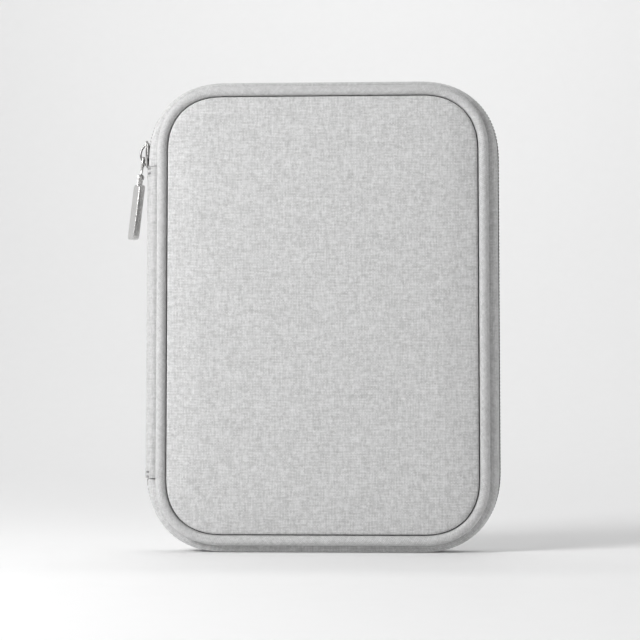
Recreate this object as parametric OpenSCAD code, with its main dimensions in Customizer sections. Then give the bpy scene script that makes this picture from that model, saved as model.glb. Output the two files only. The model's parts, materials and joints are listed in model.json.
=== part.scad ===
// Zip-round tablet case in two padded halves, joined by a fabric spine on the left side.
// X runs across the case, Y from its front (-) to its back (+), Z up from the surface it stands on.
// The zip lies in the plane y = 0. "Depth" below is the distance from that plane in either half.

/* [Case] */
// Width across the zip
case_w = 204.4; // [200:0.2:208]
// Height of the closed case
case_h = 272; // [266:1:278]
// Thickness over both crowned covers
case_t = 34; // [33.6:0.1:35]
// Corner radius of the zip's path
zip_corner_r = 42; // [41:0.5:44]
// How far the zip stands outside the piping, left and right
side_flare = 6.7; // [6:0.1:7]
// How far the zip stands outside the piping, top and bottom
end_flare = 4; // [3.5:0.1:4.5]

/* [Piping] */
// Diameter of the covered piping
piping_d = 5.8; // [5.4:0.1:5.8]
// Diameter of the cord inside the piping
piping_cord_d = 4; // [3.4:0.1:4]
// Corner radius of the piping's outer edge
piping_corner_r = 34.6; // [33:0.2:36]

/* [Layers] */
// Thickness of the outer fabric
fabric_t = 0.9; // [0.8:0.05:1]
// Thickness of the stiff board behind each cover
board_t = 1.9; // [1.5:0.1:1.9]
// Thickness of the lining
lining_t = 0.8; // [0.6:0.1:0.8]

/* [Spine] */
// Length of the fabric spine
spine_h = 180; // [170:1:180]
// Height of the spine's lower end
spine_z = 42; // [42:1:44]
// Width of the spine from fold to fold
spine_w = 22; // [22:0.1:22.4]

/* [Zip] */
// Reach of each row of teeth from its inner to its outer side
teeth_w = 2.2; // [2:0.1:2.2]
// Thickness of the teeth
teeth_t = 2.4; // [2:0.1:2.4]
// Free lane on each side of the mid-plane, where the slider's post runs
lane = 0.8; // [0.8:0.05:0.9]
// Thickness of the zip's woven tape
tape_t = 0.7; // [0.5:0.05:0.7]

/* [Slider and puller] */
// Length of the slider along the zip
slider_l = 15.6; // [15:0.1:15.6]
// Width of the slider
slider_w = 9.2; // [8.6:0.1:9.2]
// Length of the link from its pin to the pull tab's pin
link_l = 11.6; // [11.4:0.1:12]
// Length of the pull tab
tab_l = 32; // [26:0.5:34]
// Width of the pull tab's broad face
tab_w = 10.4; // [9:0.1:11]
// Thickness of the pull tab
tab_t = 3.6; // [3:0.1:3.8]
// Outward lean of the hanging tab, degrees
tab_lean = 6.5; // [4:0.5:8]
// Twist of the tab's blade towards the front, degrees
tab_twist = 28; // [20:1:32]

/* [Inside] */
// Width of the elastic corner straps
strap_w = 20; // [16:1:22]
// Clear height under a corner strap
strap_rise = 4.3; // [4.2:0.05:4.4]
// Width of the mesh pocket
pocket_w = 148; // [130:1:150]
// Height of the mesh pocket
pocket_h = 132; // [110:1:140]

/* [Hidden] */
$fn = 64;
fabric_colour = [0.80, 0.80, 0.80];
piping_colour = [0.84, 0.84, 0.84];
spine_colour = [0.77, 0.77, 0.77];
lining_colour = [0.45, 0.46, 0.48];
foam_colour = [0.90, 0.90, 0.88];
board_colour = [0.30, 0.30, 0.31];
tape_colour = [0.68, 0.68, 0.68];
teeth_colour = [0.33, 0.33, 0.34];
metal_colour = [0.72, 0.72, 0.73];
gap = 0.1;                               // Between layers that are sewn or glued together
far = 400;                               // Longer than the case, for cutting
half_t = case_t / 2;
piping_r = piping_d / 2;
piping_depth = half_t - 4.2;             // Depth of the piping's centre
flare_depth = 12;                        // Depth at which the sides have come in by side_flare
flare_r = (flare_depth * flare_depth + side_flare * side_flare) / (2 * side_flare);
flat_share = 0.55;                       // Share of the flare over which the underside stays flat
corner_steps = 8;
smallest_r = 2;
seam_inset = piping_d + 0.3;             // From the piping's outer edge in to the cover's edge
lining_depth = 10.2;                     // Depth of the lining's open face
board_depth = lining_depth + lining_t + gap;
padding_depth = board_depth + board_t + gap;
spine_top = spine_z + spine_h;
spine_gap = 0.4;                         // Between the spine's ends and the gussets
fold_depth = spine_w / 2;
fold_x = -case_w / 2 - 0.1;              // The spine's two folds
arc_z = case_h - zip_corner_r;           // Level at which the top corners start
teeth_outset = 0.2;                      // From the zip's outline in to the outside of the teeth
teeth_depth = lane + teeth_w;
tape_inset = 1;                          // From the gusset's surface in to the tape's
slider_bottom = spine_top + 0.6;
slider_top = slider_bottom + slider_l;
zip_start_z = slider_top + 1.8;          // The teeth start just past the parked slider
zip_stop_z = spine_z - 0.5;              // Top of the metal stop below the spine
zip_stop_h = 4;
zip_end_z = zip_stop_z - zip_stop_h - 1;
slider_clear_w = 11.2;                   // Lane that the slider needs through tape and teeth
plate_t = 1.1;
outer_plate_x = -case_w / 2 - 0.15;      // Inner face of the slider's outer plate
inner_plate_x = -case_w / 2 + 4;         // Outer face of the slider's inner plate
bridge_w = 3;
bridge_t = 1.2;
bridge_rise = 4;
bridge_l = 13.6;
link_pin_x = outer_plate_x - plate_t - 1.5;
link_pin_z = slider_bottom + 6;
link_pin_r = 0.6;
link_arm_y = 2.3;
link_arm_t = 1;
eye_x = link_pin_x - 2;
eye_z = link_pin_z - link_l;
eye_r = 2.2;
tab_pin_r = 0.7;
tab_neck = 4.4;                          // From the tab's pin down to its blade
pocket_z = 18;
pocket_depth = 4.6;                      // Depth of the mesh pocket's face
mesh_t = 0.7;
elastic_h = 8;

function mix(a, b, share) = a + (b - a) * share;

// How far the sides have come in at a depth, as a share of the whole flare
function flare(depth) = (flare_r - sqrt(flare_r * flare_r - depth * depth)) / side_flare;

// One closed outline of the case at a depth: share 0 is the zip's path and 1 the piping's outer edge
function station(depth, share, inset) = [
    depth,
    case_w / 2 - side_flare * share - inset,
    end_flare * max(0, share - flat_share) / (1 - flat_share) + inset,
    case_h - end_flare * share - inset,
    max(smallest_r, mix(zip_corner_r, piping_corner_r, share) - inset)
];

function gusset_station(depth, inset) = station(depth, flare(depth), inset);

function cover_station(depth, inset) = station(depth, 1, seam_inset + inset);

function outline(s) = [
    for (corner = [0:3], i = [0:corner_steps])
        let (
            angle = 90 * (corner + i / corner_steps),
            x = (corner == 0 || corner == 3 ? 1 : -1) * (s[1] - s[4]),
            z = corner < 2 ? s[3] - s[4] : s[2] + s[4]
        ) [x + s[4] * cos(angle), s[0], z + s[4] * sin(angle)]
];

around = 4 * (corner_steps + 1);

function band(a, b) = [
    for (i = [0:around - 1])
        let (j = (i + 1) % around)
            each [
                [a * around + i, a * around + j, b * around + j],
                [a * around + i, b * around + j, b * around + i]
            ]
];

// A closed ring through the stations, the last joined to the first
module loop(stations) {
    count = len(stations);
    polyhedron(
        points = [for (s = stations) each outline(s)],
        faces = [for (k = [0:count - 1]) each band(k, (k + 1) % count)]
    );
}

// A solid through the stations, closed by a flat at each end
module loft(stations) {
    count = len(stations);
    polyhedron(
        points = [for (s = stations) each outline(s)],
        faces = concat(
            [for (k = [0:count - 2]) each band(k, k + 1)],
            [[for (i = [around - 1:-1:0]) i]],
            [[for (i = [0:around - 1]) (count - 1) * around + i]]
        )
    );
}

// A flat outline in X and Z given thickness from one depth to another
module slab(near, deep) {
    translate([0, deep, 0])
        rotate([90, 0, 0])
            linear_extrude(height = deep - near)
                children();
}

module round_plate(s) {
    straight_x = s[1] - s[4];
    low = s[2] + s[4];
    high = s[3] - s[4];
    translate([-straight_x, s[2]]) square([2 * straight_x, s[3] - s[2]]);
    translate([-s[1], low]) square([2 * s[1], high - low]);
    for (x = [-straight_x, straight_x], z = [low, high])
        translate([x, z]) circle(r = s[4]);
}

module front() {
    mirror([0, 1, 0]) children();
}

// Room for the spine and for the slider parked above it
module spine_room() {
    translate([-far, -fold_depth - 0.3, spine_z - spine_gap])
        cube([far - 88, spine_w + 0.6, spine_h + 2 * spine_gap]);
}

module parking_room() {
    translate([-far, -slider_clear_w / 2, zip_end_z])
        cube([far - 88, slider_clear_w, zip_start_z - zip_end_z]);
}

// ---- The padded panel of one half, from the outside in ----

module cover() {
    loft([
        cover_station(half_t - 0.9, 40), cover_station(half_t - 1.2, 20),
        cover_station(half_t - 1.7, 9.4), cover_station(half_t - 2.4, 3.6),
        cover_station(half_t - 2.9, 1.6), cover_station(half_t - 3.1, 1),
        cover_station(padding_depth, fabric_t), cover_station(padding_depth, 0),
        cover_station(half_t - 2.7, 0.1), cover_station(half_t - 2.1, 0.8),
        cover_station(half_t - 1.5, 3), cover_station(half_t - 0.8, 9),
        cover_station(half_t - 0.3, 20), cover_station(half_t, 40)
    ]);
}

module padding() {
    loft([
        cover_station(padding_depth, 1), cover_station(half_t - 3.2, 1.1),
        cover_station(half_t - 3, 1.7), cover_station(half_t - 2.5, 3.7),
        cover_station(half_t - 1.8, 9.5), cover_station(half_t - 1.3, 20.1),
        cover_station(half_t - 1, 40)
    ]);
}

module board() {
    slab(board_depth, board_depth + board_t) round_plate(cover_station(0, 0.1));
}

module lining() {
    slab(lining_depth, lining_depth + lining_t) round_plate(cover_station(0, 0.1));
}

// Bias tape over the raw edges where panel and gusset are sewn together
module binding() {
    slab(lining_depth - 1.7, lining_depth - gap)
        difference() {
            round_plate(cover_station(0, -0.4));
            round_plate(cover_station(0, 2));
        }
}

// ---- The edge of one half: piping, gusset and its side of the zip ----

// A round rod along the piping's centre line
module piping_rod(r) {
    s = station(piping_depth, 1, piping_r);
    straight_x = s[1] - s[4];
    low = s[2] + s[4];
    high = s[3] - s[4];
    for (x = [-s[1], s[1]])
        translate([x, s[0], low]) cylinder(r = r, h = high - low);
    for (z = [s[2], s[3]])
        translate([-straight_x, s[0], z]) rotate([0, 90, 0]) cylinder(r = r, h = 2 * straight_x);
    for (side = [-1, 1], end = [-1, 1])
        translate([side * straight_x, s[0], end > 0 ? high : low])
            rotate([90, 0, 0])
                rotate(side > 0 ? (end > 0 ? 0 : -90) : (end > 0 ? 90 : 180))
                    rotate_extrude(angle = 90)
                        translate([s[4], 0]) circle(r = r);
}

module piping() {
    difference() {
        piping_rod(piping_r);
        piping_rod(piping_cord_d / 2 + 0.05);
    }
}

// The side wall: it curves in from the zip and turns in under the piping to the seam
module gusset() {
    difference() {
        loop([
            gusset_station(5, 0), gusset_station(6.5, 0), gusset_station(8, 0),
            gusset_station(9.2, 0), station(9.8, 0.8, 0), station(9.8, 1, 5.5),
            station(8.9, 1, 5.5), station(8.9, 0.66, fabric_t), gusset_station(8, fabric_t),
            gusset_station(6.5, fabric_t), gusset_station(5, fabric_t)
        ]);
        spine_room();
    }
}

module zip_tape() {
    inner = tape_inset + tape_t;
    difference() {
        loop([
            gusset_station(teeth_depth + 0.05, tape_inset), gusset_station(5, tape_inset),
            gusset_station(6.5, tape_inset), gusset_station(7.8, tape_inset),
            gusset_station(7.8, inner), gusset_station(6.5, inner),
            gusset_station(5, inner), gusset_station(teeth_depth + 0.05, inner)
        ]);
        spine_room();
        parking_room();
    }
}

module zip_teeth() {
    difference() {
        slab(lane, teeth_depth)
            difference() {
                round_plate(station(0, 0, teeth_outset));
                round_plate(station(0, 0, teeth_outset + teeth_t));
            }
        parking_room();
    }
}

// ---- The spine ----

// A strip of the curved side, from one radius of the curve to another and to a depth in either half
module spine_layer(inner_r, outer_r, depth) {
    translate([-case_w / 2 + flare_r, 0, spine_z])
        linear_extrude(height = spine_h)
            intersection() {
                difference() {
                    circle(r = outer_r);
                    circle(r = inner_r);
                }
                translate([-far, -depth]) square([far, 2 * depth]);
            }
}

module zip_end_stop() {
    color(metal_colour)
        translate([-case_w / 2 + 0.4, -2.4, zip_stop_z - zip_stop_h])
            cube([2.4, 4.8, zip_stop_h]);
}

// ---- Inside ----

// An elastic band across one corner, sewn down at both ends
module corner_strap(side, end) {
    s = cover_station(0, 2.6);
    reach = 36;
    low = lining_depth - gap;
    color(board_colour)
        intersection() {
            slab(0, lining_depth) round_plate(s);
            translate([side * (s[1] - 21), 0, case_h / 2 + end * ((s[3] - s[2]) / 2 - 21)])
                rotate([0, side * end * 45, 0])
                    translate([0, 0, -strap_w / 2])
                        linear_extrude(height = strap_w)
                            polygon([
                                [-reach, low], [-26, low], [-16, lining_depth - strap_rise],
                                [16, lining_depth - strap_rise], [26, low], [reach, low],
                                [reach, low - 1], [25.6, low - 1], [15.6, lining_depth - strap_rise - 1],
                                [-15.6, lining_depth - strap_rise - 1], [-25.6, low - 1], [-reach, low - 1]
                            ]);
        }
}

// Front and sides of the pocket, open at the top and sewn to the lining behind
module mesh_pocket() {
    color(board_colour)
        front()
            difference() {
                translate([-pocket_w / 2, pocket_depth, pocket_z])
                    cube([pocket_w, lining_depth - gap - pocket_depth, pocket_h]);
                translate([-pocket_w / 2 + mesh_t, pocket_depth + mesh_t, pocket_z + mesh_t])
                    cube([pocket_w - 2 * mesh_t, far, pocket_h]);
            }
}

module mesh_pocket_elastic() {
    color(lining_colour)
        front()
            difference() {
                translate([-pocket_w / 2 - 1, pocket_depth - 0.4, pocket_z + pocket_h + gap])
                    cube([pocket_w + 2, lining_depth - gap - pocket_depth + 0.4, elastic_h]);
                translate([-pocket_w / 2 + 1, pocket_depth + 1, 0]) cube([pocket_w - 2, far, far]);
            }
}

// ---- Slider and puller ----

module slider_outline() {
    neck = slider_w - 3;
    polygon([
        [-neck / 2 + 1, 0], [neck / 2 - 1, 0], [neck / 2, 1], [slider_w / 2, 5],
        [slider_w / 2, slider_l - 1.5], [slider_w / 2 - 1.5, slider_l],
        [-slider_w / 2 + 1.5, slider_l], [-slider_w / 2, slider_l - 1.5],
        [-slider_w / 2, 5], [-neck / 2, 1]
    ]);
}

// A plate of the slider, square to the side of the case
module slider_plate(x, thickness) {
    translate([x, 0, slider_bottom])
        rotate([90, 0, 90])
            linear_extrude(height = thickness) slider_outline();
}

module slider_body() {
    lip_t = 1;
    color(metal_colour) {
        slider_plate(outer_plate_x - plate_t, plate_t);
        slider_plate(inner_plate_x, plate_t);
        translate([outer_plate_x - 0.5, -0.5, slider_bottom + 1.5])
            cube([inner_plate_x - outer_plate_x + 1, 1, 3.5]);
        for (y = [-slider_w / 2, slider_w / 2 - lip_t])
            translate([outer_plate_x - 0.5, y, slider_bottom + 5])
                cube([1.5, lip_t, slider_l - 6.5]);
    }
}

// An arch along the slider, which holds the link's pin
module slider_bridge() {
    rise = bridge_rise;
    r = (bridge_l * bridge_l / 4 + rise * rise) / (2 * rise);
    face_x = outer_plate_x - plate_t - 0.02;
    color(metal_colour)
        translate([face_x, bridge_w / 2, slider_bottom + slider_l / 2])
            rotate([90, 0, 0])
                linear_extrude(height = bridge_w)
                    intersection() {
                        difference() {
                            translate([r - rise, 0]) circle(r = r);
                            translate([r - rise, 0]) circle(r = r - bridge_t);
                        }
                        translate([-rise - 1, -bridge_l]) square([rise + 1, 2 * bridge_l]);
                    }
}

// A pin under the bridge, two arms beside it, a narrow shank and the eye for the tab
module pull_link() {
    fork_w = 2 * link_arm_y + link_arm_t;
    fork_h = 6.2;
    link_t = 1.4;
    shank_w = 2;
    color(metal_colour)
        difference() {
            union() {
                translate([link_pin_x, 0, link_pin_z])
                    rotate([0, atan2(link_pin_x - eye_x, link_l), 0]) {
                        translate([0, -fork_w / 2, 0])
                            rotate([-90, 0, 0]) cylinder(r = link_pin_r, h = fork_w);
                        for (y = [-fork_w / 2, fork_w / 2 - link_arm_t])
                            translate([-link_t / 2, y, -fork_h]) cube([link_t, link_arm_t, fork_h + 0.4]);
                        translate([-link_t / 2, -fork_w / 2, -fork_h]) cube([link_t, fork_w, link_t]);
                        translate([-link_t / 2, -shank_w / 2, -link_l + 1])
                            cube([link_t, shank_w, link_l - fork_h]);
                    }
                translate([eye_x, -shank_w / 2, eye_z])
                    rotate([-90, 0, 0]) cylinder(r = eye_r, h = shank_w);
            }
            translate([eye_x, -2, eye_z])
                rotate([-90, 0, 0]) cylinder(r = tab_pin_r + 0.3, h = 4);
        }
}

// The blade hangs from a pin between two ears, which reach past the link's eye
module pull_tab() {
    ear_t = 1;
    ear_y = 1.3;
    color(metal_colour)
        translate([eye_x, 0, eye_z])
            rotate([0, tab_lean, 0]) {
                translate([0, -ear_y - ear_t, 0])
                    rotate([-90, 0, 0]) cylinder(r = tab_pin_r, h = 2 * (ear_y + ear_t));
                for (y = [-ear_y - ear_t, ear_y])
                    translate([-1.2, y, -tab_neck - 1]) cube([2.4, ear_t, tab_neck + 2.2]);
                rotate([0, 0, tab_twist])
                    translate([-tab_t / 2, 0, -tab_neck])
                        rotate([90, 0, 90])
                            linear_extrude(height = tab_t) tab_outline();
            }
}

module tab_outline() {
    corner = 2.2;
    foot = tab_w / 2 - corner;
    translate([-tab_w / 2, -tab_l + corner]) square([tab_w, tab_l - 2 * corner]);
    translate([-foot, -tab_l]) square([2 * foot, tab_l]);
    for (x = [-foot, foot], y = [-corner, corner - tab_l])
        translate([x, y]) circle(r = corner);
}

// ---- Nodes ----

module back_cover() { color(fabric_colour) cover(); }
module back_padding() { color(foam_colour) padding(); }
module back_board() { color(board_colour) board(); }
module back_lining() { color(lining_colour) lining(); }
module back_binding() { color(board_colour) binding(); }
module back_piping() { color(piping_colour) piping(); }
module back_piping_cord() { color(foam_colour) piping_rod(piping_cord_d / 2); }
module back_gusset() { color(fabric_colour) gusset(); }
module back_zip_tape() { color(tape_colour) zip_tape(); }
module back_zip_teeth() { color(teeth_colour) zip_teeth(); }
module strap_top_left() { corner_strap(-1, 1); }
module strap_top_right() { corner_strap(1, 1); }
module strap_bottom_left() { corner_strap(-1, -1); }
module strap_bottom_right() { corner_strap(1, -1); }
module spine_cover() { color(spine_colour) spine_layer(flare_r + gap, flare_r + 1, fold_depth - gap); }
module spine_stiffener() { color(board_colour) spine_layer(flare_r - 1, flare_r, fold_depth - gap); }
module spine_lining() { color(lining_colour) spine_layer(flare_r - 1.9, flare_r - 1 - gap, lining_depth); }
module front_cover() { front() color(fabric_colour) cover(); }
module front_padding() { front() color(foam_colour) padding(); }
module front_board() { front() color(board_colour) board(); }
module front_lining() { front() color(lining_colour) lining(); }
module front_binding() { front() color(board_colour) binding(); }
module front_piping() { front() color(piping_colour) piping(); }
module front_piping_cord() { front() color(foam_colour) piping_rod(piping_cord_d / 2); }
module front_gusset() { front() color(fabric_colour) gusset(); }
module front_zip_tape() { front() color(tape_colour) zip_tape(); }
module front_zip_teeth() { front() color(teeth_colour) zip_teeth(); }

back_cover();
back_padding();
back_board();
back_lining();
back_binding();
back_piping();
back_piping_cord();
back_gusset();
back_zip_tape();
back_zip_teeth();
strap_top_left();
strap_top_right();
strap_bottom_left();
strap_bottom_right();
spine_cover();
spine_stiffener();
spine_lining();
zip_end_stop();
front_cover();
front_padding();
front_board();
front_lining();
front_binding();
front_piping();
front_piping_cord();
front_gusset();
front_zip_tape();
front_zip_teeth();
mesh_pocket();
mesh_pocket_elastic();
slider_body();
slider_bridge();
pull_link();
pull_tab();
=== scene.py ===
"""A zip-round fabric tablet case: two padded halves on a cloth spine, closed by one long zip."""
import json
import math

import bmesh
import bpy
import numpy as np
from mathutils import Matrix, Vector


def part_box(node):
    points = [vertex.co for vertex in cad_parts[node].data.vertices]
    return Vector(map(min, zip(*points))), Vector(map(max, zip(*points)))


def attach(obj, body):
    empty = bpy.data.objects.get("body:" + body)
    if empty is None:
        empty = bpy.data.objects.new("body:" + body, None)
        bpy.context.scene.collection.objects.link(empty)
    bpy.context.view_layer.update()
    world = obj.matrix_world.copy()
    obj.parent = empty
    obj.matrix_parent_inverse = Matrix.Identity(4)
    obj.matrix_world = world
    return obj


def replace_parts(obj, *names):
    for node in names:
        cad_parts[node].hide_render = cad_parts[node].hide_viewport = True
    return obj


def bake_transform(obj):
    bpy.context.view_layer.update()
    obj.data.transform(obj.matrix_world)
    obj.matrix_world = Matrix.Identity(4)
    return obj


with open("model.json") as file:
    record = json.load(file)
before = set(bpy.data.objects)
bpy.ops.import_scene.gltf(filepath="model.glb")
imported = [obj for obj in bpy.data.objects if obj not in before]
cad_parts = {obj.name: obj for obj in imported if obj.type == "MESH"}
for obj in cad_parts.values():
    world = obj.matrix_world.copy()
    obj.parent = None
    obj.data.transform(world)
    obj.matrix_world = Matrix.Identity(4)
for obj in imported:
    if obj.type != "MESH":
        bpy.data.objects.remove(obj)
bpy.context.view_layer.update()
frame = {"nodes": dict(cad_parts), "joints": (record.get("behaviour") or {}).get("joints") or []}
MM = 0.001

# ---- Padded panels ----
# Each half's broad face is soft foam on a stiff board, with a light heathered linen-weave cloth pulled
# over it. The cloth is sewn down all round, so the face is crowned and rolls in to its seam.

FRONT, BACK = -1, 1
HALVES = ((FRONT, "front"), (BACK, "back"))
CORNER_POWER = 2.3  # Sewn corners ease into the straight sides, so they aren't true arcs
CORNER_EASE = (math.sqrt(2) - 1) / (math.sqrt(2) * (1 - 2 ** (-1 / CORNER_POWER)))
STEP = 3 * MM
WEAVE = "weave"  # Each cloth's own map, in metres along and across its threads

teeth_box, piping_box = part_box("front_zip_teeth"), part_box("front_piping")
ZIP_HALF_W = teeth_box[1].x + 0.2 * MM
CASE_H = teeth_box[1].z + 0.2 * MM
SIDE_FLARE = ZIP_HALF_W - piping_box[1].x
END_FLARE = CASE_H - piping_box[1].z
FLARE_DEPTH = 12 * MM
FLARE_R = (FLARE_DEPTH**2 + SIDE_FLARE**2) / (2 * SIDE_FLARE)
FLAT_SHARE = 0.55  # The underside stays flat over this share of the flare
ZIP_CORNER, PIPING_CORNER = 42 * MM, 34.6 * MM
PANEL_INSET = 6.1 * MM  # From the piping's outer edge in to the panel's seam


def flare(depth):
    """How far the side has come in at a depth from the zip, as a share of the whole flare."""
    return (FLARE_R - math.sqrt(FLARE_R**2 - depth**2)) / SIDE_FLARE


def station(share, inset=0.0):
    """The case's outline at a share of the flare: half width, low end, high end, corner radius."""
    rise = END_FLARE * max(0.0, share - FLAT_SHARE) / (1 - FLAT_SHARE)
    corner = ZIP_CORNER + (PIPING_CORNER - ZIP_CORNER) * share - inset
    half_w = ZIP_HALF_W - SIDE_FLARE * share - inset
    return half_w, rise + inset, CASE_H - END_FLARE * share - inset, max(2 * MM, corner)


MIDDLES = (21, 62, 103, 144)  # The middle of each corner on a fine outline


def fine_outline(place):
    """X and Z closely spaced round an outline, from the middle of its left side up and over."""
    half_w, low, high, corner = place
    reach = min(corner * CORNER_EASE, half_w)
    turn = np.linspace(0, math.pi / 2, 41)
    in_ = reach * (1 - np.cos(turn) ** (2 / CORNER_POWER))
    up = reach * np.sin(turn) ** (2 / CORNER_POWER)
    top, foot, mid = high - reach, low + reach, (low + high) / 2
    x = [[-half_w], in_ - half_w, half_w - in_[::-1], half_w - in_, in_[::-1] - half_w, [-half_w]]
    z = [[mid], top + up, top + up[::-1], foot - up, foot - up[::-1], [mid]]
    return np.concatenate(x), np.concatenate(z)


def travelled(*coordinates):
    """The distance gone at each point of a line."""
    steps = np.sqrt(sum(np.diff(c) ** 2 for c in coordinates))
    return np.concatenate([[0.0], np.cumsum(steps)])


def marks(place, start, stop):
    """Distances round an outline at its start, at the middle of each corner and at its stop."""
    x, z = fine_outline(place)
    gone = travelled(x, z)
    first, last = MIDDLES[0] + 1, MIDDLES[-1]
    begin = 0.0 if start is None else np.interp(start, z[:first], gone[:first])
    end = gone[-1] if stop is None else np.interp(stop, z[last:], gone[last:])
    return x, z, gone, [begin, *gone[list(MIDDLES)], end]


def route(share, inset, depth, side, start=None, stop=None):
    """Points round the case from one level of its left side to another; closed without them."""
    base = marks(station(0), start, stop)[3]
    counts = [max(2, round((b - a) / STEP)) for a, b in zip(base, base[1:])]
    x, z, gone, stops = marks(station(share, inset), start, stop)
    at = [np.linspace(a, b, n, endpoint=False) for a, b, n in zip(stops, stops[1:], counts)]
    at = np.concatenate(at + ([] if start is None else [[stops[-1]]]))
    across = np.full(len(at), side * depth)
    return np.stack([np.interp(at, gone, x), across, np.interp(at, gone, z)], axis=1)


def make(name, points, faces, weave=None, outward=True):
    """An object from points and faces, with its cloth's map if each face's corners have one."""
    mesh = bpy.data.meshes.new(name)
    mesh.from_pydata([tuple(p) for p in points], [], [tuple(map(int, f)) for f in faces])
    if weave is not None:
        layer = mesh.uv_layers.new(name=WEAVE)
        layer.data.foreach_set("uv", np.asarray(weave, np.float32).ravel())
    if outward:
        shape = bmesh.new()
        shape.from_mesh(mesh)
        bmesh.ops.recalc_face_normals(shape, faces=shape.faces)
        shape.to_mesh(mesh)
        shape.free()
    mesh.polygons.foreach_set("use_smooth", [True] * len(mesh.polygons))
    piece = bpy.data.objects.new(name, mesh)
    bpy.context.scene.collection.objects.link(piece)
    return piece


def skin(name, lines, closed=False, tube=True):
    """A cloth or cord through lines of points side by side; a tube joins the last to the first."""
    lines = np.asarray(lines, float)
    rows, count = lines.shape[:2]
    along = travelled(*np.concatenate([lines[0], lines[0][:1]]).T)
    middle = lines[:, count // 3]
    across = travelled(*np.concatenate([middle, middle[:1]]).T)
    faces, weave = [], []
    for k in range(rows if tube else rows - 1):
        for j in range(count if closed else count - 1):
            a, b, i = k * count, (k + 1) % rows * count, (j + 1) % count
            faces.append((a + j, a + i, b + i, b + j))
            weave += [(along[j], across[k]), (along[j + 1], across[k])]
            weave += [(along[j + 1], across[k + 1]), (along[j], across[k + 1])]
    if tube and not closed:
        for end in (0, count - 1):
            for k in range(rows // 2 - 1):
                ring = (k, k + 1, rows - 2 - k, rows - 1 - k)
                faces.append([r * count + end for r in ring])
                weave += [(along[end], across[r]) for r in ring]
    return make(name, lines.reshape(-1, 3), faces, weave, outward=tube)


def rounded(piece):
    """Smooths a piece's facets away."""
    smoothing = piece.modifiers.new("rounded", "SUBSURF")
    smoothing.levels = smoothing.render_levels = 1
    return piece


def hoops(rings, around, base=0, closed=False):
    """Faces over rings of points in a row, with flat ends unless the last ring joins the first."""
    faces = []
    for k in range(rings if closed else rings - 1):
        a, b = base + k * around, base + (k + 1) % rings * around
        faces += [(a + j, a + (j + 1) % around, b + (j + 1) % around, b + j) for j in range(around)]
    if not closed:
        last = base + (rings - 1) * around
        faces += [range(base, base + around)[::-1], range(last, last + around)]
    return faces


class Value:
    """What a node gives. Sums, differences and products of values add Math nodes."""

    def __init__(self, finish, node, output=0):
        self.finish, self.node, self.socket = finish, node, node.outputs[output]

    def out(self, output):
        return Value(self.finish, self.node, output)

    def math(self, operation, *terms):
        return self.finish.add("Math", {"operation": operation}, dict(enumerate(terms)))

    def __add__(self, other):
        return self.math("ADD", self, other)

    def __sub__(self, other):
        return self.math("SUBTRACT", self, other)

    def __rsub__(self, other):
        return self.math("SUBTRACT", other, self)

    def __mul__(self, other):
        return self.math("MULTIPLY", self, other)

    def __abs__(self):
        return self.math("ABSOLUTE", self)

    __radd__, __rmul__ = __add__, __mul__

    def wave(self):
        """1, 0, -1, 0: a sine that crosses zero at each whole number."""
        return self.math("SINE", self * math.pi)

    def most(self, other):
        return self.math("MAXIMUM", self, other)


class Finish:
    """A material, written as expressions. Sockets that stay the same all over are set once."""

    def __init__(self, name, **same):
        self.material = bpy.data.materials.new(name)
        self.material.use_nodes = True
        self.tree = self.material.node_tree
        self.shader = self.tree.nodes["Principled BSDF"]
        for socket, value in same.items():
            self.shader.inputs[socket.replace("_", " ")].default_value = value

    def add(self, kind, settings=None, sockets=None, output=0):
        """A node of a kind, with its settings made first and then its sockets set or linked."""
        node = self.tree.nodes.new("ShaderNode" + kind)
        for name, value in (settings or {}).items():
            if name == "stops":
                for n, (at, colour) in enumerate(value):
                    stop = node.color_ramp.elements[n] if n < 2 else node.color_ramp.elements.new(at)
                    stop.position, stop.color = at, colour
            else:
                setattr(node, name, value)
        for name, value in (sockets or {}).items():
            self.plug(value, node.inputs[name])
        return Value(self, node, output)

    def plug(self, value, socket):
        if isinstance(value, Value):
            self.tree.links.new(value.socket, socket)
        else:
            socket.default_value = value

    def shade(self, **feeds):
        """Feeds the values that vary over the surface to the shader."""
        for name, value in feeds.items():
            self.plug(value, self.shader.inputs[name.replace("_", " ")])
        return self.material

    def mix(self, share, low, high):
        return self.add("Mix", {"data_type": "RGBA"}, {0: share, 6: low, 7: high}, 2)

    def speckle(self, where, scale, detail=2.0):
        return self.add("TexNoise", None, {"Vector": where, "Scale": scale, "Detail": detail})

    def placed(self, where, scale=(1, 1, 1), turn=0.0, shift=(0, 0, 0)):
        sockets = {"Vector": where, "Scale": scale, "Rotation": (0, 0, turn), "Location": shift}
        return self.add("Mapping", None, sockets)

    def bump(self, height, deep, strength=1.0):
        return self.add("Bump", None, {"Height": height, "Distance": deep, "Strength": strength})

    def threads(self, pitch, turn=0.0):
        """The cloth's map, counted in threads."""
        where = self.add("UVMap", {"uv_map": WEAVE})
        return self.placed(where, (1 / pitch, 1 / pitch, 1), turn)


def grey(level, warm=0.0):
    """A neutral colour, a little warm or cool."""
    return (level * (1 + warm), level, level * (1 - warm), 1)


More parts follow.
